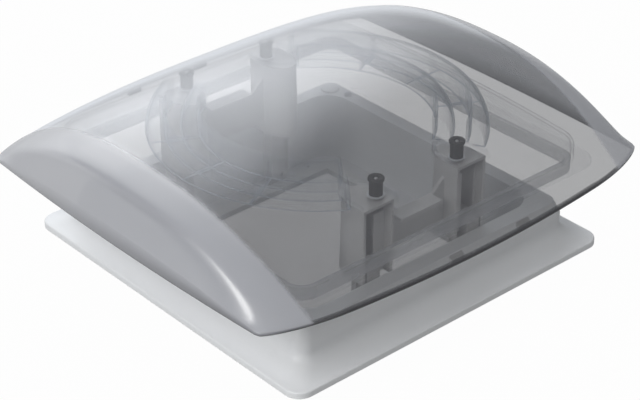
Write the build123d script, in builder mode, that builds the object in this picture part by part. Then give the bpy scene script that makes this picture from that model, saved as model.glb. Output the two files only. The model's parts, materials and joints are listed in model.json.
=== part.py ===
from build123d import *
from math import atan2, cos, degrees, radians, sin
import os

# Caravan roof vent for a square roof cut-out, photographed with its dome raised.
# Millimetres, +Z up. The origin is the middle of the neck's lower rim; right is +X and back is +Y.

os.makedirs("parts", exist_ok=True)

# Roof cut-out and base frame
cutout_side = 280.0
cutout_gap = 1.0  # neck to cut-out, each side
neck_wall = 2.5
neck_drop = 28.0  # neck below the roof skin
opening_corner = 24.0
flange_margin = 2.0  # flare's foot to the flange's edge
flange_corner = 15.0
flange_lip = 6.0
flange_round = 1.5
skin = 3.0
flare_reach = 21.5  # how far the flare's foot stands out from the collar
flare_height = 18.0
flare_power = 3
flare_shares = (0.0, 0.12, 0.3, 0.6, 1.0)  # of the flare's height
collar_margin = 17.5  # neck's outside to the collar
collar_height = 31.0  # collar's top above the roof
collar_corner = 13.0
deck_inset = 5.5  # collar to the deck's edge
deck_height = 43.0
deck_corner = 10.0
rib_wall = 2.0
rib_length = 24.0
rib_spacing = 88.0
ledge_width = 15.5
ledge_corner = 4.0
ledge_thickness = 3.0
trim_hole = 4.2
trim_hole_inset = 8.5
trim_hole_spacing = 200.0
gasket_width = 9.0
gasket_thickness = 2.9

# Travel of the dome and running gaps
lift_travel = 48.0
running_gap = 0.3
pin_gap = 0.05
overrun = 1.0  # how far a cut runs past a face

# Lift brackets: two hollow columns each, joined by a saddle
column_span = 106.9  # between the two columns' centres
column_width = 33.3
column_straight = 15.2  # straight flank before the round nose
column_nose = 24.0
column_flare = 3.0  # extra nose at the foot
column_wall = 2.4
column_drop = 7.0  # column feet below the roof, dome closed
bracket_height = 64.5  # column tops above the roof, dome closed
top_plate = 2.5
lip_thickness = 2.5
saddle_wall = 3.0
saddle_height = 38.0  # above the roof, dome closed
saddle_foot = 4.0  # above the roof, dome closed
saddle_round = 9.0
grip_depth = 12.0
grip_thickness = 4.0
inner_rib = 2.0
inner_rib_reach = 16.0
lip_run = 58.0
saddle_run = 14.0
saddle_rise = 13.0
saddle_inset = 3.0
rib_height_shares = (0.42, 0.72)  # of the column's height, from its foot

# Guides on the neck, one inside each column
guide_offset = 5.0  # guide's middle outside the column's middle
tab_radius = 7.0
guide_head = 5.8
guide_head_inset = 11.7  # from the neck wall to the head
guide_head_clear = 7.8  # from the column's wall to the head
guide_head_height = 53.0  # above the roof
stop_pin_height = 54.3  # above the roof
stop_pin = 5.0
stop_pin_reach = 7.0
stop_rib = 3.0
guide_screw = 4.0
guide_screw_head = 7.0
guide_screw_head_depth = 2.4
guide_screw_height_shares = (0.2, 0.72)  # of the neck's whole height

# Outer dome
dome_margin_x = 24.4  # pane's ledge to the dome's side, at the corners
dome_margin_y = 40.7  # pane's ledge to the dome's end, at the corners
dome_bow_x = 7.7
dome_bow_y = 6.3
dome_corner = 49.0
dome_rise = 95.0
dome_wall = 3.5
dome_edge = 3.5  # upright edge at the rim
rim_drop = 31.5  # dome's rim below the column tops
dome_power = 2.7  # how square the dome's long section is
dome_end_share = 0.98  # how much of the long section's curve is used
dome_section_shares = (0.0, 0.3, 0.55, 0.75, 0.88, 0.96, 1.0)  # of half the length
lug_length = 14.0
lug_width = 4.0
lug_height = 5.0
lug_span = 78.0
lug_offset = 12.0

# Studs that tie dome, pane and brackets
stud = 5.0
stud_inset = 11.5  # from the guide face to the stud
stud_offset = 6.95  # stud nearer to the middle than the column's centre
stud_drop = 9.0  # stud end below the bracket's top
stud_depth = 3.4  # stud in the dome's boss
sleeve = 11.6
sleeve_head = 14.0
sleeve_head_height = 3.0
sleeve_height = 16.8
boss = 10.0
nut_flats = 8.0
nut_height = 4.2
washer = 15.0
washer_thickness = 0.8
stud_hole_gap = 0.5

# Inner pane
pane_corner = 22.0
pane_wall = 2.5
pane_round = 9.0
pane_foot = 36.0  # above the roof, dome closed
crown_gap = 2.0  # pane's top above the column tops
pane_arch = 8.0
pane_ledge = 11.0
cap_height = 2.8  # cap above the bracket's top
cap_gap = 0.3
cap_wall = 2.5
cap_depth = 12.0
seal_gap = 0.6  # seal to the collar
seal_width = 5.4
seal_height = 12.0
seal_drop = 8.0

# Louvres: two round scoops at each end
scoop_inset = 62.0  # inner scoop to the pane's side
scoop_gap = 12.5
scoop_widths = (17.0, 17.5)
scoop_height = 23.0
scoop_wall = 1.8
scoop_shift = 28.39  # scoop's end past the column's centre, at the column's face
scoop_rib = 1.0  # degrees
scoop_rib_shares = (0.0, 0.27, 0.5, 0.73, 1.0)
tie_height = 2.5
tie_angle = 2.5  # degrees
frame_width = 3.0
frame_height = 2.4

# Fly screen in the neck
screen_gap = 3.0
screen_bar = 12.0
screen_thickness = 6.0
screen_corner = 4.0
screen_height = 5.5  # middle of the screen above the neck's lower rim
net_gaps = 16
net_strand = 1.2
net_thickness = 0.6
net_height_share = 0.15  # of the screen's thickness
hinge_inset = 6.0
hinge_pin = 3.0
hinge_pin_length = 14.0
hinge_grip = 8.0  # pin in the screen's frame
hinge_ear = 3.5
hinge_ear_width = 9.0
latch_length = 12.5
latch_width = 24.0
latch_thickness = 2.5
latch_overlap = 3.0  # over the ledge, latched
latch_travel = 5.0
latch_tab = 2.2
latch_tab_width = 16.0
latch_tab_depth = 3.0

# Small fittings on the deck
plug = 18.0
plug_height = 1.6
plug_inset = 5.0  # its middle inwards from the deck's middle line
vent_disc = 8.0
vent_disc_height = 0.8
vent_slot = 0.8
vent_disc_along = 26.0
vent_slot_share = 0.6

# Worked-out places
roof_z = neck_drop
raised_z = roof_z + lift_travel
neck_half = cutout_side / 2 - cutout_gap
opening_half = neck_half - neck_wall
collar_half = neck_half + collar_margin
flange_half = collar_half + flare_reach + flange_margin
deck_half = collar_half - deck_inset
deck_z = roof_z + deck_height
collar_z = roof_z + collar_height
ledge_half = opening_half - ledge_width
trim_hole_x = opening_half - trim_hole_inset
gasket_half = collar_half + flare_reach - skin
guide_face = opening_half - running_gap  # open plane of the columns
column_y = column_span / 2
cavity_low = column_y - column_width / 2 + column_wall
cavity_high = column_y + column_width / 2 - column_wall
nose_x = guide_face - column_straight
foot_z = raised_z - column_drop
bracket_z = raised_z + bracket_height
guide_y = column_y + guide_offset
guide_out = opening_half - guide_head_inset
guide_in = guide_out - guide_head
head_low = cavity_low + guide_head_clear
head_high = cavity_high - running_gap
head_top = roof_z + guide_head_height
lip_x = guide_out + running_gap
stop_z = roof_z + stop_pin_height
rim_z = bracket_z - rim_drop
pane_z = raised_z + pane_foot
crown_z = bracket_z + crown_gap
cap_z = bracket_z + cap_height
pane_half = collar_half + seal_gap + seal_width + pane_wall
dome_half_x = pane_half + pane_ledge + dome_margin_x
dome_half_y = pane_half + pane_ledge + dome_margin_y
pad_x = dome_half_x + dome_bow_x - dome_wall - lug_width
stud_x = guide_face - stud_inset
stud_y = column_y - stud_offset
sleeve_top = cap_z + sleeve_height
scoop_z = crown_z + pin_gap
scoop_radius = pane_half - scoop_inset
scoop_start = degrees(atan2(column_y + scoop_shift, guide_face))
scoop_radii = (scoop_radius, scoop_radius + scoop_widths[0] + scoop_gap)
screen_half = ledge_half - screen_gap
hinge_y = hinge_inset - screen_half
ear_x = screen_half + running_gap + hinge_ear / 2 + screen_gap
net_half = screen_half - screen_bar
net_pitch = 2 * net_half / net_gaps
plug_place = (opening_half + deck_half) / 2 - plug_inset
screen_foot = screen_height - screen_thickness / 2
net_z = screen_foot + net_height_share * screen_thickness
latch_z = ledge_thickness + running_gap

corners = {"right_back": (1, 1), "right_front": (1, -1), "left_back": (-1, 1), "left_front": (-1, -1)}


def at_corner(solid, side, end):
    # a piece of the right back corner, mirrored to another corner
    if side < 0:
        solid = solid.mirror(Plane.YZ)
    if end < 0:
        solid = solid.mirror(Plane.XZ)
    return solid


def rounded_prism(half, corner, low, high):
    # a square column with rounded corners between two heights
    with BuildPart() as prism:
        with BuildSketch(Plane.XY.offset(low)):
            RectangleRounded(2 * half, 2 * half, corner)
        extrude(amount=high - low)
    return prism.part


def frame_form(inset):
    # flange flare, collar and deck as one filled form, drawn in by the inset
    foot = roof_z + flange_lip - inset
    collar_top = collar_z - inset
    edge = collar_half - inset
    with BuildPart() as form:
        for share in flare_shares:
            half = edge + flare_reach * (1 - share) ** flare_power
            corner = flange_corner + (collar_corner - flange_corner) * share - inset
            with BuildSketch(Plane.XY.offset(foot + flare_height * share)):
                RectangleRounded(2 * half, 2 * half, corner)
        loft()
        with BuildSketch(Plane.XY.offset(foot + flare_height)):
            RectangleRounded(2 * edge, 2 * edge, collar_corner - inset)
        extrude(amount=collar_top - foot - flare_height)
        with BuildSketch(Plane.XY.offset(collar_top)):
            RectangleRounded(2 * edge, 2 * edge, collar_corner - inset)
        with BuildSketch(Plane.XY.offset(deck_z - inset)):
            RectangleRounded(2 * (deck_half - inset), 2 * (deck_half - inset), deck_corner - inset)
        loft()
    return form.part


def underside_form():
    # the hollow under the flange, the collar and the deck
    with BuildPart() as form:
        add(frame_form(skin))
        add(rounded_prism(collar_half + flare_reach - skin, flange_corner - skin,
                          roof_z, roof_z + flange_lip - skin))
        add(rounded_prism(neck_half, opening_corner + neck_wall, roof_z, deck_z), mode=Mode.SUBTRACT)
    return form.part


def stiffener_form(space):
    # upright ribs between the neck and the outer skin
    with BuildPart() as form:
        for angle in (0, 90, 180, 270):
            with BuildSketch(Plane.XY.offset(roof_z).rotated((0, 0, angle))):
                with Locations((neck_half + rib_length / 2, 0)):
                    with GridLocations(0, rib_spacing, 1, 3):
                        Rectangle(rib_length, rib_wall)
            extrude(amount=deck_z - roof_z)
        add(space, mode=Mode.INTERSECT)
    return form.part


# Base frame: neck, flange, collar and deck in one moulding
underside = underside_form()
with BuildPart() as base_frame:
    add(rounded_prism(flange_half, flange_corner, roof_z, roof_z + flange_lip))
    lip_edges = base_frame.faces().sort_by(Axis.Z)[-1].edges()
    fillet(lip_edges, flange_round)
    add(frame_form(0))
    add(underside, mode=Mode.SUBTRACT)
    add(stiffener_form(underside))
    add(rounded_prism(neck_half, opening_corner + neck_wall, 0, deck_z))
    add(rounded_prism(opening_half, opening_corner, -overrun, deck_z + overrun), mode=Mode.SUBTRACT)
    with BuildSketch():
        RectangleRounded(2 * opening_half, 2 * opening_half, opening_corner)
        RectangleRounded(2 * ledge_half, 2 * ledge_half, ledge_corner, mode=Mode.SUBTRACT)
    extrude(amount=ledge_thickness)
    with BuildSketch():
        with GridLocations(2 * trim_hole_x, trim_hole_spacing, 2, 2):
            Circle(trim_hole / 2)
    extrude(amount=ledge_thickness, mode=Mode.SUBTRACT)
    with BuildSketch(Plane.XY.offset(ledge_thickness)):
        with Locations((0, hinge_y)):
            with GridLocations(2 * ear_x, 0, 2, 1):
                Rectangle(hinge_ear, hinge_ear_width)
    extrude(amount=screen_height + hinge_pin - ledge_thickness)
    with BuildSketch(Plane.YZ.offset(-ear_x - hinge_ear)):
        with Locations((hinge_y, screen_height)):
            Circle(hinge_pin / 2 + pin_gap)
    extrude(amount=2 * (ear_x + hinge_ear), mode=Mode.SUBTRACT)
    for share in guide_screw_height_shares:
        with BuildSketch(Plane.YZ.offset(-neck_half)):
            with Locations((0, share * deck_z)):
                with GridLocations(2 * guide_y, 0, 2, 1):
                    Circle(guide_screw / 2 + pin_gap)
        extrude(amount=2 * neck_half, mode=Mode.SUBTRACT)
base_frame.part.label = "base_frame"
export_step(base_frame.part, "parts/base_frame.step")

# Foam gasket under the flange
with BuildPart() as roof_gasket:
    with BuildSketch(Plane.XY.offset(roof_z)):
        RectangleRounded(2 * gasket_half, 2 * gasket_half, flange_corner - skin)
        inner_half = gasket_half - gasket_width
        RectangleRounded(2 * inner_half, 2 * inner_half, collar_corner - skin, mode=Mode.SUBTRACT)
    extrude(amount=gasket_thickness)
roof_gasket.part.label = "roof_gasket"
export_step(roof_gasket.part, "parts/roof_gasket.step")

# Guides: a T-shaped upright on the neck inside each column
with BuildPart() as guide_form:
    with BuildSketch(Plane.YZ.offset(guide_in)):
        with Locations((guide_y, (ledge_thickness + stop_z) / 2)):
            Rectangle(2 * tab_radius, stop_z - ledge_thickness)
        with Locations((guide_y, stop_z)):
            Circle(tab_radius)
    extrude(amount=opening_half - guide_in)
    with BuildSketch(Plane.YZ.offset(guide_in)):
        with Locations(((head_low + head_high) / 2, (ledge_thickness + head_top) / 2)):
            Rectangle(head_high - head_low, head_top - ledge_thickness)
    extrude(amount=guide_head)
    with BuildSketch(Plane.YZ.offset(guide_in)):
        with Locations((guide_y, stop_z)):
            Circle(stop_pin / 2 + pin_gap)
        for share in guide_screw_height_shares:
            with Locations((guide_y, share * deck_z)):
                Circle(guide_screw / 2 + pin_gap)
    extrude(amount=opening_half - guide_in, mode=Mode.SUBTRACT)
    for share in guide_screw_height_shares:
        with BuildSketch(Plane.YZ.offset(guide_in)):
            with Locations((guide_y, share * deck_z)):
                Circle(guide_screw_head / 2 + pin_gap)
        extrude(amount=guide_screw_head_depth, mode=Mode.SUBTRACT)
for corner, (side, end) in corners.items():
    with BuildPart() as guide:
        add(at_corner(guide_form.part, side, end))
    guide.part.label = f"guide_{corner}"
    export_step(guide.part, f"parts/guide_{corner}.step")

# Screws that hold the guides to the neck
with BuildPart() as guide_screws:
    for share in guide_screw_height_shares:
        with BuildSketch(Plane.YZ.offset(guide_in)):
            with Locations((guide_y, share * deck_z)):
                Circle(guide_screw / 2)
        extrude(amount=neck_half - guide_in)
        with BuildSketch(Plane.YZ.offset(guide_in)):
            with Locations((guide_y, share * deck_z)):
                Circle(guide_screw_head / 2)
        extrude(amount=guide_screw_head_depth)
        with BuildSketch(Plane.YZ.offset(guide_in)):
            with Locations((guide_y, share * deck_z)):
                RegularPolygon(guide_screw / 2, 6)
        extrude(amount=guide_screw_head_depth / 2, mode=Mode.SUBTRACT)
    mirror(about=Plane.XZ)
    mirror(about=Plane.YZ)
guide_screws.part.label = "guide_screws"
export_step(guide_screws.part, "parts/guide_screws.step")

# Stop pins: each keeps its column from leaving the guide
with BuildPart() as stop_pins:
    with BuildSketch(Plane.YZ.offset(guide_in - stop_pin_reach)):
        with Locations((guide_y, stop_z)):
            Circle(stop_pin / 2)
    extrude(amount=opening_half - guide_in + stop_pin_reach)
    mirror(about=Plane.XZ)
    mirror(about=Plane.YZ)
stop_pins.part.label = "stop_pins"
export_step(stop_pins.part, "parts/stop_pins.step")


def column_outline(height, grow, nose):
    # plan of the right back column: an open face outwards and a round nose inwards
    half = column_width / 2 + grow
    with BuildSketch(Plane.XY.offset(height)) as outline:
        with BuildLine():
            Polyline((nose_x, column_y + half), (guide_face, column_y + half),
                     (guide_face, column_y - half), (nose_x, column_y - half))
            EllipticalCenterArc((nose_x, column_y), nose + grow, half, start_angle=90, arc_size=180)
        make_face()
    return outline.sketch


def column_form(grow, low, high):
    # a filled column that widens towards its foot
    with BuildPart() as form:
        add(column_outline(low, grow, column_nose + column_flare))
        add(column_outline(high, grow, column_nose))
        loft()
    return form.part


def column_ribs():
    # lips that hold the guide, cross ribs and the rib under the stop pin
    with BuildPart() as ribs:
        for low, high in ((cavity_low, guide_y - tab_radius - running_gap),
                          (guide_y + tab_radius + running_gap, cavity_high)):
            with BuildSketch(Plane.XY.offset(foot_z)):
                with Locations((lip_x + lip_thickness / 2, (low + high) / 2)):
                    Rectangle(lip_thickness, high - low)
            extrude(amount=lip_run)
        rib_low, rib_high = cavity_low - column_wall / 2, head_low - running_gap
        for share in rib_height_shares:
            with BuildSketch(Plane.XY.offset(foot_z + share * (bracket_z - foot_z))):
                with Locations((lip_x - inner_rib_reach / 2, (rib_low + rib_high) / 2)):
                    Rectangle(inner_rib_reach, rib_high - rib_low)
            extrude(amount=inner_rib)
        rib_in = nose_x - column_nose
        rib_out = guide_in - running_gap
        with BuildSketch(Plane.XY.offset(foot_z)):
            with Locations(((rib_in + rib_out) / 2, guide_y)):
                Rectangle(rib_out - rib_in, stop_rib)
        extrude(amount=stop_z - stop_pin / 2 - running_gap - foot_z)
        add(column_form(-column_wall / 2, foot_z, bracket_z), mode=Mode.INTERSECT)
    return ribs.part


def saddle_form():
    # the web between two columns, with a grip along its top
    reach = column_y - column_width / 2 + column_wall / 2
    top = raised_z + saddle_height
    foot = raised_z + saddle_foot
    with BuildPart() as saddle:
        with BuildSketch(Plane.YZ.offset(nose_x - saddle_inset)):
            with BuildLine():
                Polyline((reach, foot), (reach, top + saddle_rise), (reach - saddle_run, top),
                         (saddle_run - reach, top), (-reach, top + saddle_rise), (-reach, foot),
                         close=True)
            make_face()
            bends = [point for point in vertices() if abs(point.Y) < reach - saddle_run / 2]
            fillet(bends, saddle_round)
        extrude(amount=saddle_wall)
        with BuildSketch(Plane.YZ.offset(nose_x - saddle_inset)):
            with Locations((0, top - grip_thickness / 2)):
                RectangleRounded(2 * (reach - saddle_run), grip_thickness, grip_thickness / 3)
        extrude(amount=saddle_wall + grip_depth)
    return saddle.part


# Lift brackets
with BuildPart() as bracket_right:
    add(column_form(0, foot_z, bracket_z))
    add(column_form(-column_wall, foot_z - overrun, bracket_z - top_plate), mode=Mode.SUBTRACT)
    with BuildSketch(Plane.XY.offset(foot_z - overrun)):
        with Locations(((nose_x + guide_face + overrun) / 2, (cavity_low + cavity_high) / 2)):
            Rectangle(column_straight + overrun, cavity_high - cavity_low)
    extrude(amount=bracket_z - top_plate - foot_z + overrun, mode=Mode.SUBTRACT)
    add(column_ribs())
    with BuildSketch(Plane.XY.offset(bracket_z - top_plate)):
        with Locations((stud_x, stud_y)):
            Circle((stud + stud_hole_gap) / 2)
    extrude(amount=top_plate, mode=Mode.SUBTRACT)
    mirror(about=Plane.XZ)
    add(saddle_form())
bracket_right.part.label = "bracket_right"
export_step(bracket_right.part, "parts/bracket_right.step")

with BuildPart() as bracket_left:
    mirror(bracket_right.part, about=Plane.YZ)
bracket_left.part.label = "bracket_left"
export_step(bracket_left.part, "parts/bracket_left.step")


def dome_outline(inset, low, high):
    # bowed sides with rounded corners, as an upright prism
    half_x, half_y = dome_half_x - inset, dome_half_y - inset
    with BuildPart() as prism:
        with BuildSketch(Plane.XY.offset(low)):
            with BuildLine():
                for turn in (1, -1):
                    ThreePointArc((-turn * half_x, turn * half_y), (0, turn * (half_y + dome_bow_y)),
                                  (turn * half_x, turn * half_y))
                    ThreePointArc((turn * half_x, turn * half_y), (turn * (half_x + dome_bow_x), 0),
                                  (turn * half_x, -turn * half_y))
            make_face()
            fillet(vertices(), dome_corner - inset)
        extrude(amount=high - low)
    return prism.part


def dome_form(inset):
    # a filled dome: arches whose height follows a squared round along its length
    reach_y = dome_half_y + dome_bow_y - inset
    base = rim_z + dome_edge - inset
    foot = rim_z - inset
    rise = dome_rise - dome_edge
    shares = [-share for share in dome_section_shares[:0:-1]] + list(dome_section_shares)
    with BuildPart() as form:
        for share in shares:
            used = (dome_end_share * abs(share)) ** dome_power
            height = rise * (1 - used) ** (1 / dome_power)
            half = dome_half_x + dome_bow_x * (1 - share ** 2) - inset + pin_gap
            with BuildSketch(Plane.XZ.offset(-share * reach_y)):
                with BuildLine():
                    Bezier((-half, base), (0, base + 2 * height), (half, base))
                    Polyline((half, base), (half, foot), (-half, foot), (-half, base))
                make_face()
        loft()
        add(dome_outline(inset, foot, base + dome_rise), mode=Mode.INTERSECT)
    return form.part


# Outer dome with four bosses for the studs
dome_outside = dome_form(0)
dome_inside = dome_form(dome_wall)
with BuildPart() as bosses:
    with BuildSketch(Plane.XY.offset(sleeve_top)):
        with GridLocations(2 * stud_x, 2 * stud_y, 2, 2):
            Circle(boss / 2)
    extrude(amount=dome_rise)
    add(dome_outside, mode=Mode.INTERSECT)
with BuildPart() as outer_dome:
    add(dome_outside)
    add(dome_inside, mode=Mode.SUBTRACT)
    add(bosses.part)
    with BuildSketch(Plane.XY.offset(sleeve_top)):
        with GridLocations(2 * stud_x, 2 * stud_y, 2, 2):
            Circle(stud / 2 + pin_gap)
    extrude(amount=stud_depth + pin_gap, mode=Mode.SUBTRACT)
outer_dome.part.label = "outer_dome"
export_step(outer_dome.part, "parts/outer_dome.step")

# Bumper pads inside the dome's long rims
with BuildPart() as rim_pads:
    with BuildSketch(Plane.XY.offset(rim_z)):
        for side in (1, -1):
            with Locations((side * pad_x, side * lug_offset)):
                with GridLocations(0, lug_span, 1, 2):
                    Rectangle(lug_width, lug_length)
    extrude(amount=lug_height)
    add(dome_inside, mode=Mode.INTERSECT)
rim_pads.part.label = "rim_pads"
export_step(rim_pads.part, "parts/rim_pads.step")


def pane_form(inset, low):
    # a tray form with an arched top, drawn in by the inset
    half = pane_half - inset
    crown = crown_z - inset
    with BuildPart() as form:
        with BuildSketch(Plane.XZ):
            with BuildLine():
                ThreePointArc((-half, crown - pane_arch), (0, crown), (half, crown - pane_arch))
                Polyline((half, crown - pane_arch), (half, low), (-half, low), (-half, crown - pane_arch))
            make_face()
        extrude(amount=half, both=True)
        fillet(form.edges().filter_by(Axis.Z), pane_corner - inset)
        top = form.faces().sort_by(Axis.Z)[-1]
        fillet(top.edges(), pane_round - inset)
    return form.part


def corner_caps(grow, low, high):
    # the four column outlines, grown and carried up between two heights
    with BuildPart() as caps:
        add(column_outline(low, grow, column_nose))
        extrude(amount=high - low)
        with BuildSketch(Plane.XY.offset(low)):
            with Locations((guide_face + grow / 2, column_y)):
                Rectangle(grow, column_width + 2 * grow)
        extrude(amount=high - low)
        mirror(about=Plane.XZ)
        mirror(about=Plane.YZ)
    return caps.part


# Inner pane: a clear tray with a cap over each column and a ledge round its foot
with BuildPart() as inner_pane:
    add(pane_form(0, pane_z))
    with BuildSketch(Plane.XY.offset(pane_z)):
        ledge_side = 2 * (pane_half + pane_ledge)
        RectangleRounded(ledge_side, ledge_side, pane_corner)
    extrude(amount=pane_wall)
    add(corner_caps(cap_gap + cap_wall, cap_z - cap_depth, cap_z))
    add(pane_form(pane_wall, pane_z - overrun), mode=Mode.SUBTRACT)
    add(corner_caps(cap_gap, pane_z, bracket_z + cap_gap), mode=Mode.SUBTRACT)
    with BuildSketch(Plane.XY.offset(bracket_z)):
        with GridLocations(2 * stud_x, 2 * stud_y, 2, 2):
            Circle((stud + stud_hole_gap) / 2)
    extrude(amount=cap_z - bracket_z, mode=Mode.SUBTRACT)
inner_pane.part.label = "inner_pane"
export_step(inner_pane.part, "parts/inner_pane.step")

# Seal round the pane's foot
with BuildPart() as pane_seal:
    with BuildSketch(Plane.XY.offset(pane_z - seal_drop)):
        seal_half = pane_half - pane_wall
        seal_corner = pane_corner - pane_wall
        RectangleRounded(2 * seal_half, 2 * seal_half, seal_corner)
        seal_half -= seal_width
        RectangleRounded(2 * seal_half, 2 * seal_half, seal_corner - seal_width, mode=Mode.SUBTRACT)
    extrude(amount=seal_height)
pane_seal.part.label = "pane_seal"
export_step(pane_seal.part, "parts/pane_seal.step")


def turned_plane(angle):
    # an upright plane through the middle of the vent, at an angle from the right
    across = radians(angle)
    return Plane(origin=(0, 0, 0), x_dir=(cos(across), sin(across), 0), z_dir=(sin(across), -cos(across), 0))


def scoop_sector(radius, width, inset, start, sweep):
    # a quarter-round hood or rib: straight wall inwards, round back outwards
    low, high = scoop_z, scoop_z + scoop_height - inset
    inner, outer = radius + inset, radius + width - inset
    with BuildPart() as sector:
        with BuildSketch(turned_plane(start)):
            with BuildLine():
                EllipticalCenterArc((inner, low), outer - inner, high - low, start_angle=0, arc_size=90)
                Polyline((inner, high), (inner, low), (outer, low))
            make_face()
        revolve(axis=Axis.Z, revolution_arc=sweep)
    return sector.part


def tie_sector(start):
    # a flat tie between the two scoops
    inner = scoop_radii[0] + scoop_widths[0] - scoop_wall
    outer = scoop_radii[1] + scoop_wall / 2
    with BuildPart() as tie:
        with BuildSketch(turned_plane(start)):
            with Locations(((inner + outer) / 2, scoop_z + tie_height / 2)):
                Rectangle(outer - inner, tie_height)
        revolve(axis=Axis.Z, revolution_arc=tie_angle)
    return tie.part


def column_frame(side):
    # a flat frame on the border of one cap
    with BuildPart() as frame:
        add(column_outline(cap_z, cap_gap + cap_wall, column_nose))
        extrude(amount=frame_height)
        add(column_outline(cap_z, cap_gap + cap_wall - frame_width, column_nose))
        extrude(amount=frame_height, mode=Mode.SUBTRACT)
    return at_corner(frame.part, side, 1)


# Louvres
with BuildPart() as louvre_back:
    scoop_sweep = 180 - 2 * scoop_start
    for radius, width in zip(scoop_radii, scoop_widths):
        add(scoop_sector(radius, width, 0, scoop_start, scoop_sweep))
    for radius, width in zip(scoop_radii, scoop_widths):
        add(scoop_sector(radius, width, scoop_wall, scoop_start, scoop_sweep), mode=Mode.SUBTRACT)
    for share in scoop_rib_shares:
        start = scoop_start + share * (scoop_sweep - scoop_rib)
        for radius, width in zip(scoop_radii, scoop_widths):
            add(scoop_sector(radius, width, 0, start, scoop_rib))
        add(tie_sector(scoop_start + share * (scoop_sweep - tie_angle)))
    add(corner_caps(cap_gap + cap_wall + running_gap, crown_z - overrun, cap_z), mode=Mode.SUBTRACT)
    for side in (1, -1):
        add(column_frame(side))
louvre_back.part.label = "louvre_back"
export_step(louvre_back.part, "parts/louvre_back.step")

with BuildPart() as louvre_front:
    mirror(louvre_back.part, about=Plane.XZ)
louvre_front.part.label = "louvre_front"
export_step(louvre_front.part, "parts/louvre_front.step")

# Rubber sleeves between the pane and the dome
with BuildPart() as sleeve_form:
    with BuildSketch(Plane(origin=(stud_x, stud_y, cap_z), x_dir=(1, 0, 0), z_dir=(0, -1, 0))):
        bore = stud / 2 + pin_gap
        neck = sleeve_height - sleeve_head_height
        with BuildLine():
            Polyline((bore, 0), (sleeve / 2, 0), (sleeve / 2, neck), (sleeve_head / 2, sleeve_height),
                     (bore, sleeve_height), close=True)
        make_face()
    revolve(axis=Axis((stud_x, stud_y, 0), (0, 0, 1)))
for corner, (side, end) in corners.items():
    with BuildPart() as rubber_sleeve:
        add(at_corner(sleeve_form.part, side, end))
    rubber_sleeve.part.label = f"rubber_sleeve_{corner}"
    export_step(rubber_sleeve.part, f"parts/rubber_sleeve_{corner}.step")

# Threaded studs set in the dome's bosses
with BuildPart() as dome_studs:
    with BuildSketch(Plane.XY.offset(bracket_z - stud_drop)):
        with GridLocations(2 * stud_x, 2 * stud_y, 2, 2):
            Circle(stud / 2)
    extrude(amount=sleeve_top + stud_depth - bracket_z + stud_drop)
dome_studs.part.label = "dome_studs"
export_step(dome_studs.part, "parts/dome_studs.step")

# Nuts under the bracket tops
with BuildPart() as stud_nuts:
    with BuildSketch(Plane.XY.offset(bracket_z - top_plate - nut_height)):
        with GridLocations(2 * stud_x, 2 * stud_y, 2, 2):
            RegularPolygon(nut_flats / 2, 6, major_radius=False)
            Circle(stud / 2 + pin_gap, mode=Mode.SUBTRACT)
    extrude(amount=nut_height)
stud_nuts.part.label = "stud_nuts"
export_step(stud_nuts.part, "parts/stud_nuts.step")

# Clear washers round the sleeves' feet
with BuildPart() as sleeve_washers:
    with BuildSketch(Plane.XY.offset(cap_z)):
        with GridLocations(2 * stud_x, 2 * stud_y, 2, 2):
            Circle(washer / 2)
            Circle(sleeve / 2 + pin_gap, mode=Mode.SUBTRACT)
    extrude(amount=washer_thickness)
sleeve_washers.part.label = "sleeve_washers"
export_step(sleeve_washers.part, "parts/sleeve_washers.step")

# Fly screen: frame, net, hinge pins and latch
with BuildPart() as screen_frame:
    with BuildSketch(Plane.XY.offset(screen_foot)):
        RectangleRounded(2 * screen_half, 2 * screen_half, screen_corner)
        Rectangle(2 * net_half, 2 * net_half, mode=Mode.SUBTRACT)
    extrude(amount=screen_thickness)
    with BuildSketch(Plane.YZ.offset(-screen_half)):
        with Locations((hinge_y, screen_height)):
            Circle(hinge_pin / 2 + pin_gap)
    extrude(amount=hinge_grip, mode=Mode.SUBTRACT)
    with BuildSketch(Plane.YZ.offset(screen_half - hinge_grip)):
        with Locations((hinge_y, screen_height)):
            Circle(hinge_pin / 2 + pin_gap)
    extrude(amount=hinge_grip, mode=Mode.SUBTRACT)
    with BuildSketch(Plane.XY.offset(screen_foot)):
        with Locations((0, (net_half + screen_half) / 2)):
            Rectangle(latch_width + 2 * running_gap, screen_bar)
    extrude(amount=latch_z + latch_thickness + running_gap - screen_foot, mode=Mode.SUBTRACT)
screen_frame.part.label = "screen_frame"
export_step(screen_frame.part, "parts/screen_frame.step")

with BuildPart() as screen_net:
    with BuildSketch(Plane.XY.offset(net_z - net_thickness / 2)):
        Rectangle(2 * net_half, 2 * net_half)
        with GridLocations(net_pitch, net_pitch, net_gaps, net_gaps):
            Rectangle(net_pitch - net_strand, net_pitch - net_strand, mode=Mode.SUBTRACT)
    extrude(amount=net_thickness)
screen_net.part.label = "screen_net"
export_step(screen_net.part, "parts/screen_net.step")

with BuildPart() as hinge_pins:
    with BuildSketch(Plane.YZ.offset(screen_half - hinge_grip)):
        with Locations((hinge_y, screen_height)):
            Circle(hinge_pin / 2)
    extrude(amount=hinge_pin_length)
    mirror(about=Plane.YZ)
hinge_pins.part.label = "hinge_pins"
export_step(hinge_pins.part, "parts/hinge_pins.step")

with BuildPart() as screen_latch:
    latch_end = ledge_half + latch_overlap - latch_travel
    with BuildSketch(Plane.XY.offset(latch_z)):
        with Locations((0, latch_end - latch_length / 2)):
            Rectangle(latch_width, latch_length)
    extrude(amount=latch_thickness)
    with BuildSketch(Plane.XY.offset(latch_z)):
        with Locations((0, latch_end - latch_length + latch_tab_depth / 2)):
            Rectangle(latch_tab_width, latch_tab_depth)
    extrude(amount=-latch_tab)
screen_latch.part.label = "screen_latch"
export_step(screen_latch.part, "parts/screen_latch.step")

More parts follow.
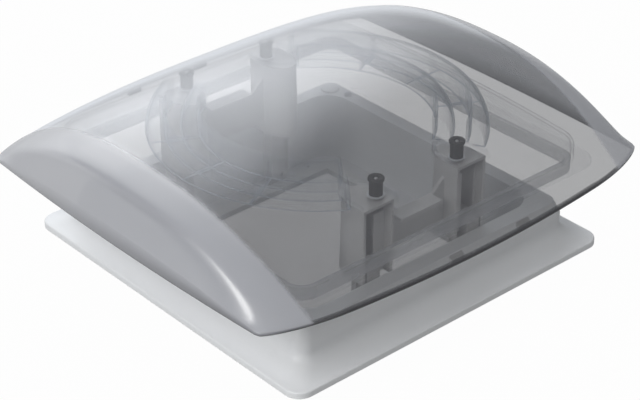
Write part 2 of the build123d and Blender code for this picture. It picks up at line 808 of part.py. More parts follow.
# Round plug and slotted vent disc in the deck's left back corner
with BuildPart() as deck_plug:
    with BuildSketch(Plane.XY.offset(deck_z)):
        with Locations((-plug_place, plug_place)):
            Circle(plug / 2)
    extrude(amount=plug_height)
    fillet(deck_plug.faces().sort_by(Axis.Z)[-1].edges(), plug_height / 2)
deck_plug.part.label = "deck_plug"
export_step(deck_plug.part, "parts/deck_plug.step")

with BuildPart() as vent_disc_piece:
    disc_y = (opening_half + deck_half) / 2
    with BuildSketch(Plane.XY.offset(deck_z)):
        with Locations((vent_disc_along - disc_y, disc_y)):
            Circle(vent_disc / 2)
            with GridLocations(2 * vent_slot, 0, 3, 1):
                Rectangle(vent_slot, vent_disc * vent_slot_share, mode=Mode.SUBTRACT)
    extrude(amount=vent_disc_height)
vent_disc_piece.part.label = "vent_disc"
export_step(vent_disc_piece.part, "parts/vent_disc.step")
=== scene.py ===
import json
import math
import bmesh
import bpy
import numpy as np
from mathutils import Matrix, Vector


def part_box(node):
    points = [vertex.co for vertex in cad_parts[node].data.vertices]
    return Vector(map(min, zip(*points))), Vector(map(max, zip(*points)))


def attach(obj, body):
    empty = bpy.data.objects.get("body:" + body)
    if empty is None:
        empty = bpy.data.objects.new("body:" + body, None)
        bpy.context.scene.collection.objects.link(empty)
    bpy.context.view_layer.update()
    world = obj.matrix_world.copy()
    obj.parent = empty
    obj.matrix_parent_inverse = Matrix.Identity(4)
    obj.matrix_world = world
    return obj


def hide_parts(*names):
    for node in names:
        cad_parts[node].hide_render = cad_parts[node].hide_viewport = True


# Caravan roof vent with its dome raised. Metres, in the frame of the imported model.

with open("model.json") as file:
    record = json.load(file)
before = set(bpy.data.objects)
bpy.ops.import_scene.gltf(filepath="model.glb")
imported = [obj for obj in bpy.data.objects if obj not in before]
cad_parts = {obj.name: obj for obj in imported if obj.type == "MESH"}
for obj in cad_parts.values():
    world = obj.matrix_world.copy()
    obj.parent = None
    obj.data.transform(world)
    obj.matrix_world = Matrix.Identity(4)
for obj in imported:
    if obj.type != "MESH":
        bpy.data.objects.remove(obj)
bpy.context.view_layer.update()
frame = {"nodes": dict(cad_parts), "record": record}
print("frame loaded:", len(frame["nodes"]), "nodes")


class Wire:
    # one shader socket; each operator adds a Math node
    def __init__(self, finish, socket):
        self.finish = finish
        self.socket = socket

    def maths(self, operation, first, second):
        return self.finish.node("ShaderNodeMath", {"operation": operation}, {0: first, 1: second})

    def __add__(self, other):
        return self.maths("ADD", self, other)

    def __radd__(self, other):
        return self.maths("ADD", other, self)

    def __sub__(self, other):
        return self.maths("SUBTRACT", self, other)

    def __rsub__(self, other):
        return self.maths("SUBTRACT", other, self)

    def __mul__(self, other):
        return self.maths("MULTIPLY", self, other)

    def __rmul__(self, other):
        return self.maths("MULTIPLY", other, self)

    def __pow__(self, exponent):
        return self.maths("POWER", self, exponent)

    def most(self, other):
        return self.maths("MAXIMUM", self, other)

    def least(self, other):
        return self.maths("MINIMUM", self, other)

    def fold(self, scale):
        # rises and falls between 0 and the scale
        return self.maths("PINGPONG", self, scale)

    def above(self, limit):
        # 1 where the value is over the limit, 0 elsewhere
        return self.maths("GREATER_THAN", self, limit)

    def output(self, name):
        # another output of the same node
        return Wire(self.finish, self.socket.node.outputs[name])


class Finish:
    # one material and its nodes, or the nodes of a given tree
    def __init__(self, name, tree=None):
        self.material = None
        if tree is None:
            self.material = bpy.data.materials.new(name)
            self.material.use_nodes = True
            tree = self.material.node_tree
        self.tree = tree
        self.tree.nodes.clear()

    def node(self, kind, settings=None, sockets=None, output=0):
        # the settings are set first, and then the sockets' values or links
        made = self.tree.nodes.new(kind)
        for key, value in (settings or {}).items():
            setattr(made, key, value)
        for key, value in (sockets or {}).items():
            if isinstance(value, Wire):
                self.tree.links.new(value.socket, made.inputs[key])
            else:
                made.inputs[key].default_value = value
        return Wire(self, made.outputs[output])

    def place(self):
        return self.node("ShaderNodeTexCoord", None, None, "Object")

    def noise(self, scale, detail=3):
        return self.node("ShaderNodeTexNoise", None,
                         {"Vector": self.place(), "Scale": scale, "Detail": detail}, "Fac")

    def attribute(self, name):
        return self.node("ShaderNodeAttribute", {"attribute_name": name}, None, "Fac")

    def behind(self):
        # 1 on the back of a face
        return self.node("ShaderNodeNewGeometry", None, None, "Backfacing")

    def parts(self, vector, output):
        # one of the three parts of a vector
        return self.node("ShaderNodeSeparateXYZ", None, {0: vector}, output)

    def span(self, value, ends, shares=(0.0, 1.0), kind="SMOOTHSTEP"):
        # the value's way between two ends, turned into a way between two shares
        return self.node("ShaderNodeMapRange", {"interpolation_type": kind},
                         {"Value": value, "From Min": ends[0], "From Max": ends[1],
                          "To Min": shares[0], "To Max": shares[1]})

    def blend(self, share, first, second):
        # one colour turning into another as the share goes from 0 to 1
        return self.node("ShaderNodeMix", {"data_type": "RGBA"},
                         {"Factor": share, 6: first, 7: second}, 2)

    def bump(self, height, distance, strength):
        return self.node("ShaderNodeBump", None,
                         {"Height": height, "Distance": distance, "Strength": strength}, "Normal")

    def plastic(self, **sockets):
        named = {key.replace("_", " "): value for key, value in sockets.items()}
        return self.node("ShaderNodeBsdfPrincipled", None, named, "BSDF")

    def over(self, share, first, second):
        return self.node("ShaderNodeMixShader", None, {0: share, 1: first, 2: second})

    def shine(self, share):
        # gloss that grows at grazing angles, on the front of a face only
        facing = self.node("ShaderNodeFresnel", None, {"IOR": 1.45})
        return facing * (1 - self.behind()) * share

    def finish(self, shader, kind="ShaderNodeOutputMaterial"):
        output = self.tree.nodes.new(kind)
        self.tree.links.new(shader.socket, output.inputs["Surface"])
        return self.material


mouldedLook = {
    "broadScale": 14, "mottle": 0.04,
    "roughnessDrop": 0.06, "roughnessSpread": 0.12,
    "bumpDistance": 0.00006, "bumpStrength": 0.5,
}


def mouldedPlastic(name, color, roughness, grain):
    # satin plastic: colour mottled by a broad noise, fine grain in the roughness and the bump
    look = mouldedLook
    made = Finish(name)
    broad = made.noise(look["broadScale"])
    fine = made.noise(grain)
    darker = tuple(channel * (1 - look["mottle"]) for channel in color)
    shade = made.blend(broad, (*color, 1), (*darker, 1))
    rough = roughness - look["roughnessDrop"] + look["roughnessSpread"] * fine
    relief = made.bump(fine, look["bumpDistance"], look["bumpStrength"])
    return made.finish(made.plastic(Base_Color=shade, Roughness=rough, Normal=relief))


clearLook = {
    "streakScale": 22, "streakShare": 0.02,
    "outlinePower": 5.0, "rimShare": 0.45, "roughness": 0.3,
    "mirror": (0.9, 0.93, 0.97), "mirrorRoughness": 0.12,
}


def clearPlastic(name, tint, alpha, grazing, gloss=0.5):
    # clear plastic: a thin tint, denser at grazing angles by a power and on cut edges, under a gloss
    look = clearLook
    made = Finish(name)
    streak = made.noise(look["streakScale"])
    facing = made.node("ShaderNodeLayerWeight", None, {"Blend": 0.5}, "Facing")
    outline = facing ** look["outlinePower"]
    cover = alpha + look["streakShare"] * streak + grazing * outline
    cover = cover + look["rimShare"] * made.attribute("rim")
    body = made.plastic(Base_Color=(*tint, 1), Roughness=look["roughness"], Alpha=cover)
    mirror = made.plastic(Base_Color=(*look["mirror"], 1), Roughness=look["mirrorRoughness"],
                          Metallic=1.0)
    return made.finish(made.over(made.shine(gloss), body, mirror))


metalLook = {"polishScale": 600, "polishSpread": 0.15}


def metalFinish(name, color, roughness):
    # plated steel with a fine uneven polish
    made = Finish(name)
    rough = roughness + metalLook["polishSpread"] * made.noise(metalLook["polishScale"])
    return made.finish(made.plastic(Base_Color=(*color, 1), Metallic=1.0, Roughness=rough))


rubberLook = {
    "skinScale": 900, "roughnessSpread": 0.1, "bumpDistance": 0.00008, "bumpStrength": 0.6,
}


def rubberFinish(name, color, roughness):
    # rubber: dull, with a fine skin in the roughness and the bump
    look = rubberLook
    made = Finish(name)
    fine = made.noise(look["skinScale"])
    rough = roughness + look["roughnessSpread"] * fine
    relief = made.bump(fine, look["bumpDistance"], look["bumpStrength"])
    return made.finish(made.plastic(Base_Color=(*color, 1), Roughness=rough, Normal=relief))


domeLook = {
    "smoke": (0.12, 0.12, 0.13), "smokeAlpha": 0.25, "smokeRoughness": 0.15,
    "streakScale": 9, "streakShare": 0.03, "edgeCover": 0.7,
    "mirror": (0.86, 0.90, 0.97), "gloss": 2.0, "glossRoughness": 0.24,
    "frost": (0.375, 0.385, 0.42), "frostAlpha": 0.86, "frostRoughness": 0.45,
    # painted light: how much more the frosted ends let through inside and from behind
    "frostInsideLight": 0.40, "frostBehindLight": 0.16,
    "coatRoughness": 0.24, "coatIndex": 1.75,
    "grain": 1400, "grainShare": 0.5, "softScale": 60, "softShare": 0.25,
    "maskEnds": (0.15, 0.85), "bumpDistance": 0.00012, "bumpStrength": 0.5,
    "edge": (0.035, 0.035, 0.04), "edgeRoughness": 0.25, "edgeAlpha": 0.9, "edgeShare": 0.85,
}


def domeFinish():
    # smoked clear plastic that turns into frosted plastic where the frost attribute rises,
    # # through a mask broken up by two noises, with a dark edge over both: the smoked edge's own
    # density, painted darker towards the right as painted shade
    look = domeLook
    made = Finish("domeSmoke")
    frost = made.attribute("frost")
    edge = made.attribute("edge")
    grain = made.noise(look["grain"], 2)
    soft = made.noise(look["softScale"])
    streak = made.noise(look["streakScale"], 2)
    broken = frost + look["grainShare"] * (grain - 0.5) + look["softShare"] * (soft - 0.5)
    mask = made.span(broken, look["maskEnds"])
    smoke = made.plastic(
        Base_Color=(*look["smoke"], 1), Roughness=look["smokeRoughness"],
        Alpha=look["smokeAlpha"] + look["streakShare"] * streak + edge * look["edgeCover"])
    mirror = made.plastic(Base_Color=(*look["mirror"], 1), Roughness=look["glossRoughness"],
                          Metallic=1.0)
    clear = made.over(made.shine(look["gloss"]), smoke, mirror)
    # painted light: a frosted end lets more through on its inner face and where its back is seen,
    # standing in for light that passes through the frosted plastic
    cover = look["frostAlpha"] - look["frostInsideLight"] * made.attribute("inside")
    cover = cover - look["frostBehindLight"] * made.behind()
    frosted = made.plastic(
        Base_Color=(*look["frost"], 1), Roughness=look["frostRoughness"], Alpha=cover,
        Coat_Weight=1.0, Coat_Roughness=look["coatRoughness"], Coat_IOR=look["coatIndex"],
        Normal=made.bump(grain, look["bumpDistance"], look["bumpStrength"]))
    body = made.over(mask, clear, frosted)
    # the dark rim: the smoked edge's density, with painted shade on the right from the edge attribute
    rim = made.plastic(Base_Color=(*look["edge"], 1), Roughness=look["edgeRoughness"],
                       Alpha=look["edgeAlpha"])
    return made.finish(made.over(edge * look["edgeShare"], body, rim))


netLook = {
    "color": (0.30, 0.31, 0.33), "roughness": 0.7,
    "halfPitch": 0.0007, "strandEnds": (0.00016, 0.00024),
}


def netFinish():
    # woven mesh: two crossed waves leave square holes in the alpha
    look = netLook
    made = Finish("netWeave")
    across = made.parts(made.place(), "X")
    along = across.output("Y")
    nearest = across.fold(look["halfPitch"]).least(along.fold(look["halfPitch"]))
    cover = made.span(nearest, look["strandEnds"], (1.0, 0.0), "LINEAR")
    return made.finish(made.plastic(Base_Color=(*look["color"], 1), Roughness=look["roughness"],
                                    Alpha=cover))


finishes = {
    "frame_white": mouldedPlastic("frameWhite", (0.79, 0.805, 0.825), 0.42, 1300),
    "gasket_foam": rubberFinish("gasketFoam", (0.05, 0.05, 0.05), 0.85),
    "guide_grey": mouldedPlastic("guideGrey", (0.50, 0.50, 0.50), 0.45, 1200),
    "screw_steel": metalFinish("screwSteel", (0.60, 0.60, 0.61), 0.25),
    "fitting_white": mouldedPlastic("fittingWhite", (0.78, 0.79, 0.80), 0.4, 1500),
    "fitting_grey": mouldedPlastic("fittingGrey", (0.45, 0.46, 0.48), 0.5, 1500),
    "dome_smoke": domeFinish(),
    "pad_rubber": rubberFinish("padRubber", (0.45, 0.45, 0.45), 0.5),
    "pane_clear": clearPlastic("paneClear", (0.40, 0.43, 0.48), 0.02, 0.55, 0.3),
    "seal_rubber": clearPlastic("sealRubber", (0.55, 0.57, 0.60), 0.35, 0.3, 0.3),
    "louvre_clear": clearPlastic("louvreClear", (0.36, 0.43, 0.51), 0.03, 0.80, 0.3),
    "bracket_grey": mouldedPlastic("bracketGrey", (0.63, 0.63, 0.63), 0.4, 1200),
    "sleeve_rubber": rubberFinish("sleeveRubber", (0.012, 0.012, 0.014), 0.45),
    "washer_clear": clearPlastic("washerClear", (0.80, 0.83, 0.87), 0.70, 0.3),
    "screen_white": mouldedPlastic("screenWhite", (0.76, 0.77, 0.77), 0.45, 1300),
    "net_fabric": netFinish(),
}
print("finishes made:", len(finishes))


def dress(piece, slot, body, *nodes):
    # a finished piece: material, slot, body and the nodes that it stands for
    piece.data.materials.clear()
    piece.data.materials.append(finishes[slot])
    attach(piece, body)
    if nodes:
        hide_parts(*nodes)
    return piece


def linked(name, mesh):
    # an object in the scene that shows the mesh
    piece = bpy.data.objects.new(name, mesh)
    bpy.context.scene.collection.objects.link(piece)
    return piece


def meshPiece(name, points, faces, smooth=True):
    # a piece from points and faces, all smooth or all flat
    mesh = bpy.data.meshes.new(name)
    mesh.from_pydata(points.tolist(), [], faces)
    mesh.polygons.foreach_set("use_smooth", [smooth] * len(mesh.polygons))
    mesh.update()
    return linked(name, mesh)


def gridFaces(rows, columns, closedRows=False, closedColumns=True):
    # quads between neighbours of a grid, which may close on itself along its rows or columns
    lowRow = np.arange(rows if closedRows else rows - 1)
    lowColumn = np.arange(columns if closedColumns else columns - 1)
    row, column = np.meshgrid(lowRow, lowColumn, indexing="ij")
    nextRow, nextColumn = (row + 1) % rows, (column + 1) % columns
    corners = (row * columns + column, row * columns + nextColumn,
               nextRow * columns + nextColumn, nextRow * columns + column)
    return np.stack(corners, -1).reshape(-1, 4).tolist()


def revolved(name, profile, centre, sides=48):
    # a closed profile of radius and height turned about an upright axis
    angle = np.linspace(0, 2 * np.pi, sides, endpoint=False)
    radius, height = np.array(profile).T
    points = np.stack([centre[0] + radius[:, None] * np.cos(angle),
                       centre[1] + radius[:, None] * np.sin(angle),
                       np.repeat(height[:, None], sides, 1) + centre[2]], -1)
    return meshPiece(name, points.reshape(-1, 3), gridFaces(len(profile), sides, True))


def fixNormals(piece):
    # turns every face outwards
    form = bmesh.new()
    form.from_mesh(piece.data)
    bmesh.ops.recalc_face_normals(form, faces=form.faces)
    form.to_mesh(piece.data)
    form.free()
    return piece


copySize = {
    "merge": 2e-6, "sharpAngle": 30, "bevelSegments": 2,
    "cutHeight": 0.0003, "cutFacing": -0.98,
}


def smoothCopy(node, name, bevel):
    # the node's own mesh with its doubles merged, smooth but for edges sharper than the angle;
    # a louvre's cut edges lie at its foot and face down, and are marked as rim
    sharp = math.radians(copySize["sharpAngle"])
    form = bmesh.new()
    form.from_mesh(frame["nodes"][node].data)
    bmesh.ops.remove_doubles(form, verts=form.verts, dist=copySize["merge"])
    for edge in form.edges:
        edge.smooth = len(edge.link_faces) == 2 and edge.calc_face_angle() < sharp
    rim = form.faces.layers.float.new("rim")
    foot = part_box(node)[0].z + copySize["cutHeight"]
    for face in form.faces:
        face.smooth = True
        down = face.normal.z < copySize["cutFacing"]
        cut = node.startswith("louvre") and down and face.calc_center_median().z < foot
        face[rim] = float(cut)
    mesh = bpy.data.meshes.new(name)
    form.to_mesh(mesh)
    form.free()
    piece = linked(name, mesh)
    if bevel:
        rounding = piece.modifiers.new("rounding", "BEVEL")
        rounding.width = bevel
        rounding.segments = copySize["bevelSegments"]
        rounding.limit_method = "ANGLE"
        rounding.angle_limit = sharp
        rounding.harden_normals = False
    return piece


domeSize = {
    "halfX": 0.1911, "bowX": 0.0170,
    "halfY": 0.2171, "bowY": 0.0059,
    "cornerX": 0.0200, "cornerY": 0.0850,
    "rise": 0.095, "edge": 0.0035, "wall": 0.0035,
    "power": 1.9, "endPower": 0.56, "ringPower": 2.2,
    "faceFoot": 0.150, "faceLean": 0.085, "endDrop": 0.539, "endCurve": 2.9,
    "crease": 13, "cornerCrease": 7,
    "lobeStart": 0.188, "lobeCurve": 0.010, "lobeSpan": 0.180,
    "lobeSoft": 0.0055, "lobeStep": 0.0007,
    "lip": ((0.0, 0.0012), (0.12, 0.0003), (0.3, 0.0), (0.7, 0.0), (1.0, 0.0008)),
    "edgeHeight": 0.0038, "edgeDrop": 0.0022, "edgeSoft": 0.0008,
    "edgeEndStart": 0.14, "edgeEndSpan": 0.07,
    # painted shade: how the dark rim weakens from the right towards the left
    "edgeShadeMiddle": 0.65, "edgeShadeSpan": 0.4, "edgeShadeLeast": 0.15,
    "directions": 400, "outerRings": 110, "innerRings": 40,
    "searchReach": 0.4, "searchSteps": 40,
}


def domeShares(x, y, inset):
    # how far a point lies towards the long sides and towards the ends, from 0 to 1:
    # both sides are bowed by a square, and a long side turns into an end by a quarter ellipse
    size = domeSize
    halfX, halfY = size["halfX"] - inset, size["halfY"] - inset
    cornerX, cornerY = size["cornerX"] - inset, size["cornerY"] - inset
    into = np.clip((np.abs(y) - (halfY + size["bowY"] - cornerY)) / cornerY, 0, 1)
    bowX = size["bowX"] * (1 - np.minimum(np.abs(y) / halfY, 1) ** 2)
    reachX = halfX + bowX - cornerX * (1 - np.sqrt(1 - into ** 2))
    reachY = halfY + size["bowY"] * (1 - np.minimum(np.abs(x) / halfX, 1) ** 2)
    return np.abs(x) / reachX, np.abs(y) / reachY


def domeOutline(inset):
    # the rim in every direction, where the larger share reaches 1, found by halving the distance
    angle = np.linspace(0, 2 * np.pi, domeSize["directions"], endpoint=False)
    near, far = np.zeros_like(angle), np.full_like(angle, domeSize["searchReach"])
    for step in range(domeSize["searchSteps"]):
        middle = (near + far) / 2
        shares = domeShares(middle * np.cos(angle), middle * np.sin(angle), inset)
        inside = np.maximum(*shares) < 1
        near, far = np.where(inside, middle, near), np.where(inside, far, middle)
    return near * np.cos(angle), near * np.sin(angle)


def domeRings(inset, rings, rim):
    # rings from the crown to the rim: a bow across, times the soft minimum of a falling curve
    # along and a steep end face, which meet in a crease that is softer at the corners
    size = domeSize
    outlineX, outlineY = domeOutline(inset)
    share = 1 - (1 - np.linspace(0, 1, rings)) ** size["ringPower"]
    x, y = share[:, None] * outlineX, share[:, None] * outlineY
    towardsSide, towardsEnd = np.minimum(domeShares(x, y, inset), 1)
    face = size["faceFoot"] + (1 - towardsEnd) / size["faceLean"]
    along = 1 - size["endDrop"] * towardsEnd ** size["endCurve"]
    sharp = size["crease"] - size["cornerCrease"] * towardsSide ** 2
    lower = -np.log(np.exp(-sharp * face) + np.exp(-sharp * along)) / sharp
    bow = 1 - towardsSide ** (size["power"] + size["endPower"] * towardsEnd ** 2)
    height = rim + size["edge"] + (size["rise"] - size["edge"] - inset) * bow * lower
    return np.stack([x, y, height], -1)


def frostShare(x, y):
    # 0 in the clear middle, 1 in the frosted ends, past a line that curves with the lobe
    start = domeSize["lobeStart"] - domeSize["lobeCurve"] * (x / domeSize["lobeSpan"]) ** 2
    share = np.clip((np.abs(y) - start) / domeSize["lobeSoft"] / 2 + 0.5, 0, 1)
    return share * share * (3 - 2 * share)


def domeEdgeAndShade(points, rim):
    # 1 within the rim's height, which falls towards the ends, and weaker towards the left: the dark
    # rim carries painted shade, darker on the right side that is turned from the lamps
    size = domeSize
    along = (np.abs(points[:, 1]) - size["edgeEndStart"]) / size["edgeEndSpan"]
    along = np.clip(along, 0, 1)
    top = rim + size["edgeHeight"] - size["edgeDrop"] * along
    edge = np.clip((top - points[:, 2]) / size["edgeSoft"], 0, 1)
    # painted shade: the rim's darkness is scaled down towards the left and up towards the right
    return edge * np.clip(size["edgeShadeMiddle"] + points[:, 0] / size["edgeShadeSpan"], size["edgeShadeLeast"], 1)


def makeDome():
    # outer rings, a rounded lip and inner rings, closed by a fan of triangles at each crown
    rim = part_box("outer_dome")[0].z
    count = domeSize["directions"]
    outer = domeRings(0, domeSize["outerRings"], rim)
    inner = domeRings(domeSize["wall"], domeSize["innerRings"], rim)[::-1]
    outer[..., 2] -= domeSize["lobeStep"] * (1 - frostShare(outer[..., 0], outer[..., 1]))
    outerRim, innerRim = outer[-1], inner[0]
    lip = []
    for share, lift in domeSize["lip"]:
        ring = outerRim + (innerRim - outerRim) * share
        ring[:, 2] = rim + lift
        lip.append(ring)
    rings = np.concatenate([outer, np.array(lip), inner])
    # the first and the last ring shrink to one point each
    points = rings.reshape(-1, 3)
    points = points[count - 1:len(points) - count + 1]
    faces = (np.array(gridFaces(len(rings) - 2, count)) + 1).tolist()
    column = np.arange(count)
    following = (column + 1) % count
    last = len(points) - 1
    faces += np.stack([following + 1, column + 1, np.zeros(count, int)], -1).tolist()
    faces += np.stack([np.full(count, last), last - count + column, last - count + following],
                      -1).tolist()
    dome = meshPiece("dome_shell", points, faces)
    attributes = {
        "frost": frostShare(points[:, 0], points[:, 1]),
        "edge": domeEdgeAndShade(points, rim),
        "inside": np.arange(len(points)) >= len(points) - len(inner) * count,
    }
    for name, values in attributes.items():
        layer = dome.data.attributes.new(name, "FLOAT", "POINT")
        layer.data.foreach_set("value", values.astype(np.float32))
    return dome


dress(fixNormals(makeDome()), "dome_smoke", "lift", "outer_dome")
print("dome made")

sleeveSize = {
    "neck": 0.0058, "bore": 0.0019, "neckTop": 0.0030, "headFoot": 0.0026,
    "rings": 22, "ribDepth": 0.00018, "ribPoints": 90,
    "headRound": 0.0008, "roundPoints": 7,
    "dishWidth": 0.0022, "dishTop": 0.0002, "dishFoot": 0.0012, "dishDepth": 0.0006, "boreTop": 0.0016,
}
sleeveCorners = ("right_back", "right_front", "left_back", "left_front")


def sleevePlace(corner):
    # the sleeve's box and its axis
    low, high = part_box("rubber_sleeve_" + corner)
    return low, high, ((low.x + high.x) / 2, (low.y + high.y) / 2, 0)


def makeSleeve(corner):
    # a ribbed sleeve: its radius ripples by a cosine along its neck, then widens into the head
    size = sleeveSize
    low, high, centre = sleevePlace(corner)
    head, neck, bore = (high.x - low.x) / 2, size["neck"], size["bore"]
    rise = np.linspace(low.z, high.z - size["neckTop"], size["ribPoints"])
    turns = 2 * np.pi * np.linspace(0, size["rings"], size["ribPoints"])
    ripple = neck - size["ribDepth"] * (0.5 - 0.5 * np.cos(turns))
    outside = np.stack([ripple, rise], -1)
    turn = np.linspace(0, np.pi / 2, size["roundPoints"])
    rounding = size["headRound"]
    crown = np.stack([head - rounding + rounding * np.cos(turn),
                      high.z - rounding + rounding * np.sin(turn)], -1)
    dish = [(head - size["dishWidth"], high.z - size["dishTop"]),
            (bore + size["dishFoot"], high.z - size["dishDepth"]),
            (bore, high.z - size["boreTop"]), (bore, low.z)]
    headFoot = (head, high.z - size["headFoot"])
    profile = np.concatenate([[(neck, low.z)], outside, [headFoot], crown, dish])
    return revolved("sleeve_" + corner, profile, centre)


for corner in sleeveCorners:
    dress(fixNormals(makeSleeve(corner)), "sleeve_rubber", "lift", "rubber_sleeve_" + corner)
print("sleeves made")

netSize = {"lines": 31, "top": 0.0001, "dip": 0.0004}


def makeNet():
    # a flat sheet that dips a little in the middle: a product of two cosines
    low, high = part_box("screen_net")
    lines = netSize["lines"]
    across, along = np.linspace(low.x, high.x, lines), np.linspace(low.y, high.y, lines)
    x, y = np.meshgrid(across, along, indexing="ij")
    dip = np.cos(np.pi * (x - (low.x + high.x) / 2) / (high.x - low.x))
    dip = dip * np.cos(np.pi * (y - (low.y + high.y) / 2) / (high.y - low.y))
    height = high.z - netSize["top"] - netSize["dip"] * dip
    points = np.stack([x, y, height], -1).reshape(-1, 3)
    net = meshPiece("net_sheet", points, gridFaces(lines, lines, closedColumns=False))
    return net


studSize = {
    "radius": 0.0025, "tip": 0.0015, "footRound": 0.0004, "shoulder": 0.0005,
    "tipRound": 0.0003, "tipSide": 0.0010, "tipTop": 0.0007, "sides": 32,
}


def makeStud(corner):
    # a rod under the sleeve's head, drawn in to a small bright tip
    size = studSize
    low, high, centre = sleevePlace(corner)
    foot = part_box("dome_studs")[0].z
    radius, tip, footRound = size["radius"], size["tip"], size["footRound"]
    top = high.z - size["tipTop"]
    profile = [(0.0, foot), (radius - footRound, foot), (radius, foot + footRound),
               (radius, low.z - size["shoulder"]), (tip, low.z), (tip, high.z - size["tipSide"]),
               (tip - size["tipRound"], top), (0.0, top)]
    return revolved("stud_" + corner, profile, centre, size["sides"])


for corner in sleeveCorners:
    dress(fixNormals(makeStud(corner)), "screw_steel", "lift", "dome_studs")
print("studs made")

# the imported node, its smooth copy's name and the width of the copy's bevel
copies = [
    ("base_frame", "frame_moulding", 0.0004), ("inner_pane", "pane_tray", 0.0),
    ("louvre_back", "louvre_scoops_back", 0.0), ("louvre_front", "louvre_scoops_front", 0.0),
    ("bracket_right", "lift_bracket_right", 0.0), ("bracket_left", "lift_bracket_left", 0.0),
    ("screen_frame", "screen_frame_moulding", 0.0004), ("roof_gasket", "gasket_ring", 0.0003),
    ("pane_seal", "seal_ring", 0.0008), ("deck_plug", "deck_cap", 0.0),
    ("vent_disc", "slotted_disc", 0.0), ("stop_pins", "stop_pin_set", 0.0003),
]
record = frame["record"]
slots = {part["node"]: part["material_slot"] for part in record["subparts"]}
bodyOf = {node: body for body, nodes in record["behaviour"]["bodies"].items() for node in nodes}
for node, name, bevel in copies:
    dress(smoothCopy(node, name, bevel), slots[node], bodyOf[node], node)
dress(makeNet(), "net_fabric", "screen", "screen_net")
for node, piece in frame["nodes"].items():
    piece.data.materials.clear()
    piece.data.materials.append(finishes[slots[node]])
print("other pieces dressed")

camera = {"lens": 109.14, "yaw": 48.509, "pitch": 31.232, "place": (1.1124, -0.9809, 0.9621)}
sky = {
    "ambient": 0.21, "horizon": 1.45, "overhead": 0.34, "dim": 0.25,
    "glow": 2.4, "glowTowards": (-0.648, 0.249, 0.719), "glowFrom": 0.79,
    "nearEnds": (-0.9, -0.5), "lowEnds": (0.10, 0.60), "riseEnds": (-0.05, 0.35),
    "aboveEnds": (-0.05, 0.22), "aheadEnds": (-0.35, 0.10), "aheadShare": 0.2,
}
floor = {
    "half": 6, "drop": 0.0002, "color": 0.45, "share": 0.98,
    # painted shade: the floor's share where it is seen through clear plastic
    "throughShadeShare": 0.55, "mirror": 0.55, "leftEnds": (-0.6, 0.1),
}
lamps = {
    "key": {"place": (0.42, -1.86, 1.45), "size": 1.3, "power": 38,
            "color": (1.0, 0.995, 0.985), "mirrored": True},
    "veil": {"place": (-1.95, 0.90, 1.65), "size": 2.2, "power": 40,
             "color": (0.90, 0.95, 1.0), "mirrored": False},
    "top": {"place": (0.92, 1.10, 2.05), "size": 1.2, "power": 9,
            "color": (1, 1, 1), "mirrored": False},
}
lampAim = (0, 0, 0.1)
clearFaces = 40  # a line of sight crosses up to thirty clear faces


def rayKinds(made):
    # the light path's outputs for rays from the camera, off gloss and through glass
    direct = made.node("ShaderNodeLightPath", None, None, "Is Camera Ray")
    return direct, direct.output("Is Glossy Ray"), direct.output("Is Transmission Ray")


def makeSky():
    # white to the camera and dim as a light; in reflections an even sky that is darker towards
    # the front, plus a bright band low on the left and a wide soft glow high on the left
    world = bpy.data.worlds.new("studio")
    bpy.context.scene.world = world
    world.use_nodes = True
    made = Finish("sky", world.node_tree)
    direct, glossy, clear = rayKinds(made)
    direction = made.node("ShaderNodeTexCoord", None, None, "Generated")
    height = made.parts(direction, "Z")
    near = made.span(height.output("X"), sky["nearEnds"], (1.0, 0.0))
    low = made.span(height, sky["lowEnds"], (1.0, 0.0))
    towards = made.node("ShaderNodeVectorMath", {"operation": "DOT_PRODUCT"},
                        {0: direction, 1: sky["glowTowards"]}, "Value")
    glow = made.span(towards, (sky["glowFrom"], 1.0), (0.0, sky["glow"]), "SMOOTHERSTEP")
    rise = made.span(height, sky["riseEnds"], (sky["dim"], sky["overhead"]))
    # the horizon itself is dimmer than the sky just above it
    above = made.span(height, sky["aboveEnds"], (sky["dim"], 1.0))
    ahead = made.span(height.output("Y"), sky["aheadEnds"], (sky["aheadShare"], 1.0))
    band = (sky["horizon"] - sky["overhead"]) * near * low * above
    mirrored = rise * ahead + band + glow
    strength = sky["ambient"] + direct.most(clear) * (1 - sky["ambient"])
    strength = strength * (1 - glossy) + mirrored * glossy
    background = made.node("ShaderNodeBackground", None,
                           {"Color": (1, 1, 1, 1), "Strength": strength})
    made.finish(background, "ShaderNodeOutputWorld")


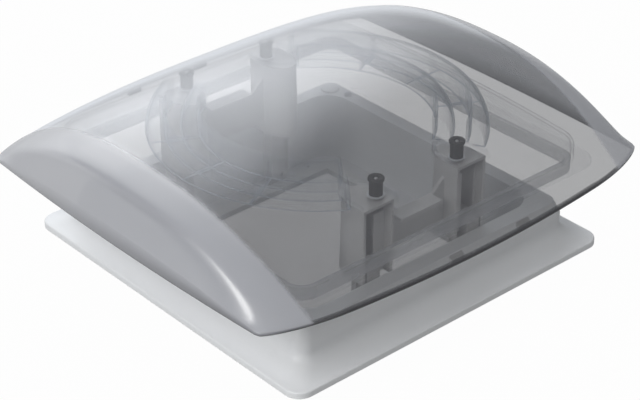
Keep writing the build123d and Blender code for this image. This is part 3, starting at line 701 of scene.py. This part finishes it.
def makeFloor():
    # white to the camera and through glass, pale grey to the lamps;
    # reflections show it white on the left and in its own colour on the right
    half, drop = floor["half"], floor["drop"]
    points = np.array([[-half, -half, -drop], [half, -half, -drop],
                       [half, half, -drop], [-half, half, -drop]], float)
    piece = meshPiece("studio_floor", points, [(0, 1, 2, 3)], False)
    made = Finish("floorPale")
    direct, glossy, clear = rayKinds(made)
    leftward = made.span(made.parts(made.place(), "X"), floor["leftEnds"], (1.0, 0.0))
    seen = direct.most(glossy * leftward * floor["mirror"]).most(clear)
    # painted shade: where clear plastic lies in front, the floor is dimmer, standing in for the vent's
    # shadow on it
    through = direct.output("Transparent Depth").above(0.5)
    seen = seen * (1 - (1 - floor["throughShadeShare"]) * through)
    pale = floor["color"]
    matt = made.node("ShaderNodeBsdfDiffuse", None, {"Color": (pale, pale, pale, 1)})
    white = made.node("ShaderNodeEmission", None, {"Color": (1, 1, 1, 1), "Strength": 1.0})
    piece.data.materials.append(made.finish(made.over(seen * floor["share"], matt, white)))


def makeLamps():
    # square lamps, each turned so that its face looks at the vent
    for name, lamp in lamps.items():
        data = bpy.data.lights.new("lamp_" + name, "AREA")
        data.energy = lamp["power"]
        data.size = lamp["size"]
        data.color = lamp["color"]
        piece = linked("lamp_" + name, data)
        piece.location = lamp["place"]
        piece.visible_glossy = lamp["mirrored"]
        aim = np.array(lamp["place"]) - np.array(lampAim)
        tilt = math.atan2(math.hypot(aim[0], aim[1]), aim[2])
        piece.rotation_euler = (tilt, 0, math.atan2(aim[0], -aim[1]))


def makeCamera():
    # the photo's camera, from its yaw and pitch
    data = bpy.data.cameras.new("photo_view")
    data.lens = camera["lens"]
    piece = linked("photo_view", data)
    piece.location = camera["place"]
    piece.rotation_euler = (math.radians(90 - camera["pitch"]), 0, math.radians(camera["yaw"]))
    bpy.context.scene.camera = piece
    bpy.context.scene.view_settings.view_transform = "Standard"
    bpy.context.scene.cycles.transparent_max_bounces = clearFaces


makeSky()
makeFloor()
makeLamps()
makeCamera()
print("studio made")
